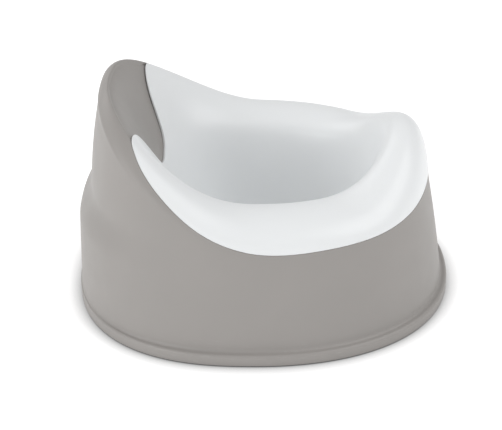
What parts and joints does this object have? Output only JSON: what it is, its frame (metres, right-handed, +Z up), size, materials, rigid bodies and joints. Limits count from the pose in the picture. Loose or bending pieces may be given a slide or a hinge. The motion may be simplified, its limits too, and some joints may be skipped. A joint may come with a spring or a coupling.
{
  "type": "potty training chair",
  "caption": "Low potty chair with a drafted egg-shaped shell and rounded backrest, a lift-out inner potty with a splash guard and a finger notch, and rubber feet.",
  "frame": {"origin": "middle of the base, on the floor that the feet stand on", "axes": "+Z up; +Y towards the backrest and -Y towards the splash guard; +X to the seated child's left"},
  "size_m": [0.336, 0.364, 0.2107],
  "materials": {
    "shell": "satin moulded polypropylene, warm grey",
    "potty": "smooth satin moulded polypropylene, white",
    "foot": "matte soft rubber, grey"
  },
  "bodies": {
    "base": {"outer_shell": "shell", "foot_front_right": "foot", "foot_front_left": "foot", "foot_middle_right": "foot", "foot_middle_left": "foot", "foot_rear_right": "foot", "foot_rear_left": "foot"},
    "potty": {"inner_potty": "potty"}
  },
  "joints": [
    {"name": "potty_lift", "type": "slide", "parent": "base", "child": "potty", "axis": [0, 0, 1], "range_m": [0, 0.14]}
  ]
}
